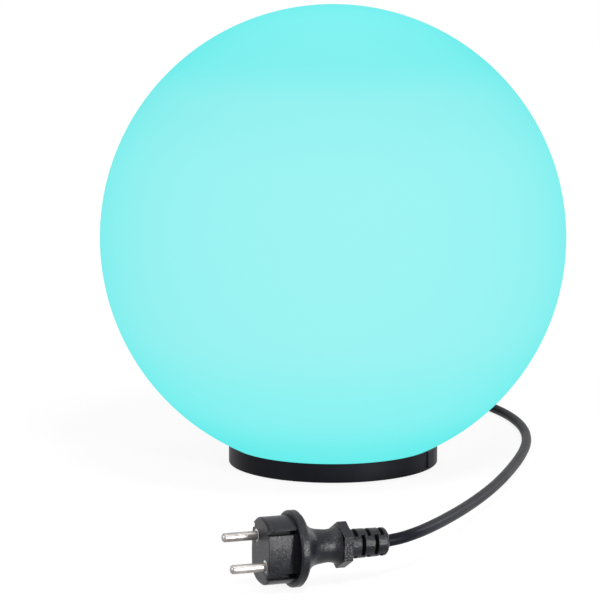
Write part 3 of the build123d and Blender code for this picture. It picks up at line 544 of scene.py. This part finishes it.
def makeGlow(v):
    material = surface(
        "glowPlastic", v["base"], v["rough"], scale=420, bump=0.00002, spread=0.05, specular=0.0
    )
    tree = material.node_tree
    shader = tree.nodes["Principled BSDF"]
    coordinates = next(n for n in tree.nodes if n.type == "TEX_COORD")
    split = addNode(tree, "ShaderNodeSeparateXYZ", {"Vector": coordinates.outputs["Object"]})
    rise = addNode(tree, "ShaderNodeMapRange", {"Value": split.outputs["Z"], "From Max": v["crown"]})
    ramp = addNode(tree, "ShaderNodeValToRGB", {"Fac": rise.outputs["Result"]})
    ramp.color_ramp.interpolation = "EASE"
    first, *between, last = v["stops"]
    for element, (place, colour) in zip(ramp.color_ramp.elements, (first, last)):
        element.position = place
        element.color = (*colour, 1)
    for place, colour in between:
        ramp.color_ramp.elements.new(place).color = (*colour, 1)
    setInputs(tree, shader, {
        "Emission Color": ramp.outputs["Color"],
        "Emission Strength": 1.0,
        "Coat Weight": 1.0,  # clear skin, tinted more where it is crossed aslant
        "Coat Roughness": 1.0,
        "Coat IOR": v["skinIndex"],
        "Coat Tint": (*v["skinTint"], 1),
    })
    return material


weaveValues = {"colour": (0.02, 0.02, 0.022), "rough": 0.85, "rows": 320, "waver": 1.5, "sheen": 0.3}


def weave(name, v):
    material = surface(name, v["colour"], v["rough"], scale=1500, bump=0.0002, spread=0.3)
    tree = material.node_tree
    coordinates = next(n for n in tree.nodes if n.type == "TEX_COORD")
    relief = next(n for n in tree.nodes if n.type == "BUMP")
    inputs = {"Vector": coordinates.outputs["Object"], "Scale": v["rows"], "Distortion": v["waver"]}
    rows = addNode(tree, "ShaderNodeTexWave", inputs, bands_direction="Z")
    tree.links.new(rows.outputs["Fac"], relief.inputs["Height"])
    tree.nodes["Principled BSDF"].inputs["Sheen Weight"].default_value = v["sheen"]
    return material


finishes = {
    "globe": makeGlow(glowValues),
    "base_black": surface(
        "basePlastic", (0.0085, 0.0088, 0.0118), 0.42, scale=900, bump=0.00006, specular=0.05, edge=0.0004
    ),
    "screw_steel": surface(
        "zincSteel", (0.60, 0.60, 0.61), 0.32, group=brushedGroup, scale=600, bump=0.00004, metallic=1.0
    ),
    "rubber_black": surface("footRubber", (0.014, 0.014, 0.016), 0.62, scale=800, bump=0.0001),
    "seal_grey": surface("foamRubber", (0.16, 0.16, 0.17), 0.85, scale=520, bump=0.0004, spread=0.3),
    "clip_grey": surface("nylon", (0.60, 0.60, 0.58), 0.4, scale=600),
    "cord_black": surface(
        "cordSheath", (0.0060, 0.0064, 0.0100), 0.42, scale=650, bump=0.00004, spread=0.25, specular=0.05
    ),
    "wire_brown": surface("brownInsulation", (0.16, 0.06, 0.025), 0.38, scale=800),
    "wire_blue": surface("blueInsulation", (0.02, 0.12, 0.45), 0.38, scale=800),
    "brass": surface(
        "stampedBrass", (0.78, 0.58, 0.25), 0.28, group=brushedGroup, scale=500, bump=0.00004, metallic=1.0
    ),
    "holder_black": surface("heatPlastic", (0.020, 0.020, 0.022), 0.36, scale=700),
    "holder_ceramic": surface("steatite", (0.80, 0.78, 0.73), 0.55, scale=500, spread=0.06),
    "cap_nickel": surface(
        "rolledCap", (0.72, 0.72, 0.70), 0.25, group=brushedGroup, scale=420, bump=0.00006, metallic=1.0
    ),
    "glass_black": surface("blackGlass", (0.012, 0.012, 0.012), 0.12, scale=300, bump=0.00003, specular=0.6),
    "tip_solder": surface("solder", (0.58, 0.58, 0.56), 0.34, scale=350, bump=0.0001, metallic=1.0),
    "lamp_white": surface("lampPlastic", (0.80, 0.80, 0.79), 0.35, scale=700, spread=0.05),
    "board_green": surface("driverBoard", (0.03, 0.22, 0.09), 0.42, scale=260, spread=0.3),
    "board_white": surface("boardLacquer", (0.82, 0.82, 0.82), 0.38, scale=400, spread=0.05),
    "led_yellow": surface("phosphor", (0.85, 0.72, 0.22), 0.5, scale=900, spread=0.15),
    "lamp_diffuser": surface("lampFrost", (0.45, 0.50, 0.50), 0.5, scale=900, spread=0.04),
    "tie_black": weave("hookTape", weaveValues),
    # the plug's rubber gets painted shade in its slots, grooves and recesses
    "plug_rubber": surface(
        "plugRubber", (0.0034, 0.0038, 0.0072), 0.30, group=leatherGroup, scale=1700, bump=0.00040,
        spread=0.3, specular=0.23, edge=0.0005, hollowShadeDepth=0.005,
    ),
    "pin_nickel": surface(
        "nickelPin", (0.30, 0.28, 0.27), 0.42, group=brushedGroup, scale=500, bump=0.00003, metallic=1.0
    ),
    "collar_white": surface("pinCollar", (0.86, 0.86, 0.86), 0.35, scale=700, spread=0.05),
}
diffuserValues = {"glow": (0.62, 0.95, 0.94), "strength": 0.5}
diffuserTree = finishes["lamp_diffuser"].node_tree
setInputs(diffuserTree, diffuserTree.nodes["Principled BSDF"], {
    "Emission Color": (*diffuserValues["glow"], 1),
    "Emission Strength": diffuserValues["strength"],
})


def dress(piece, material):
    piece.data.materials.clear()
    piece.data.materials.append(material)


for part in frame["record"]["subparts"]:
    node = nodes[part["node"]]
    for place in node.material_slots:
        place.material = finishes[part["material_slot"]]
    if not node.material_slots:
        node.data.materials.append(finishes[part["material_slot"]])
for piece, slotName in ((globe, "globe"), (tie, "tie_black"), (cord, "cord_black")):
    dress(piece, finishes[slotName])
for nodeName, piece in innerPieces.items():
    slotName = innerLines[nodeName][0]
    dress(piece, finishes[slotName])
print("stage: materials")


# plain white floor, white background, soft studio light
floorValues = {
    "reach": 6,
    "colour": 0.14,
    "glowNear": 0.88,
    "glowFar": 1.0,
    "near": 0.35,
    "far": 1.3,
    "rough": 0.9,
    "specular": 0.1,
    "smoothAngle": 35,
}


def directlySeen(tree):
    path = tree.nodes.new("ShaderNodeLightPath")
    seen = path.outputs["Is Camera Ray"]
    for name in ("Is Glossy Ray", "Is Transmission Ray"):
        seen = addMath(tree, "MAXIMUM", seen, path.outputs[name])
    return seen


def floorMaterial(v):
    material = bpy.data.materials.new("floorWhite")
    material.use_nodes = True
    tree = material.node_tree
    shader = tree.nodes["Principled BSDF"]
    coordinates = tree.nodes.new("ShaderNodeTexCoord")
    away = addNode(tree, "ShaderNodeVectorMath", {0: coordinates.outputs["Object"]}, operation="LENGTH")
    glow = addNode(tree, "ShaderNodeMapRange", {
        "Value": away.outputs["Value"],
        "From Min": v["near"],
        "From Max": v["far"],
        "To Min": v["glowNear"],
        "To Max": v["glowFar"],
    }, interpolation_type="SMOOTHSTEP")
    setInputs(tree, shader, {
        "Base Color": (v["colour"], v["colour"], v["colour"], 1),
        "Roughness": v["rough"],
        "Specular IOR Level": v["specular"],
        "Emission Color": (1, 1, 1, 1),
        "Emission Strength": addMath(tree, "MULTIPLY", glow.outputs["Result"], directlySeen(tree)),
    })
    return material


def makeFloor(v):
    shape = bmesh.new()
    bmesh.ops.create_grid(shape, x_segments=4, y_segments=4, size=v["reach"])
    floor = finishMesh("studioFloor", shape, v["smoothAngle"])
    dress(floor, floorMaterial(v))


lampValues = {
    "keyLamp": {"place": (0.5, -0.9, 1.9), "aim": (0, -0.25, 0.03), "size": 0.7, "power": 20},
    "sideLamp": {"place": (1.1, -1.30, 0.24), "aim": (0, -0.28, 0.03), "size": 0.3, "power": 34},
    "rimLamp": {"place": (1.4, 1.0, 0.55), "aim": (0.05, -0.25, 0.02), "size": 0.5, "power": 6},
    "leftLamp": {"place": (-1.3, -0.85, 0.45), "aim": (0, -0.28, 0.03), "size": 0.6, "power": 12},
    "topLamp": {"place": (-0.3, 0.4, 2.3), "aim": (0, 0, 0), "size": 1.5, "power": 12},
}
worldValues = {"lightOnPieces": 0.07, "seen": 1.0}


def makeLamp(name, v):
    data = bpy.data.lights.new(name, "AREA")
    data.shape = "DISK"
    data.size = v["size"]
    data.energy = v["power"]
    lamp = bpy.data.objects.new(name, data)
    scene.collection.objects.link(lamp)
    lamp.location = v["place"]
    lamp.rotation_euler = (Vector(v["aim"]) - Vector(v["place"])).to_track_quat("-Z", "Y").to_euler()


def makeWorld(v):
    world = bpy.data.worlds.new("studio")
    scene.world = world
    world.use_nodes = True
    tree = world.node_tree
    inputs = {"Value": directlySeen(tree), "To Min": v["lightOnPieces"], "To Max": v["seen"]}
    level = addNode(tree, "ShaderNodeMapRange", inputs).outputs["Result"]
    setInputs(tree, tree.nodes["Background"], {"Color": (1, 1, 1, 1), "Strength": level})


makeFloor(floorValues)
makeWorld(worldValues)
for name, values in lampValues.items():
    makeLamp(name, values)
scene.view_settings.view_transform = "Standard"
print("stage: floor and light")
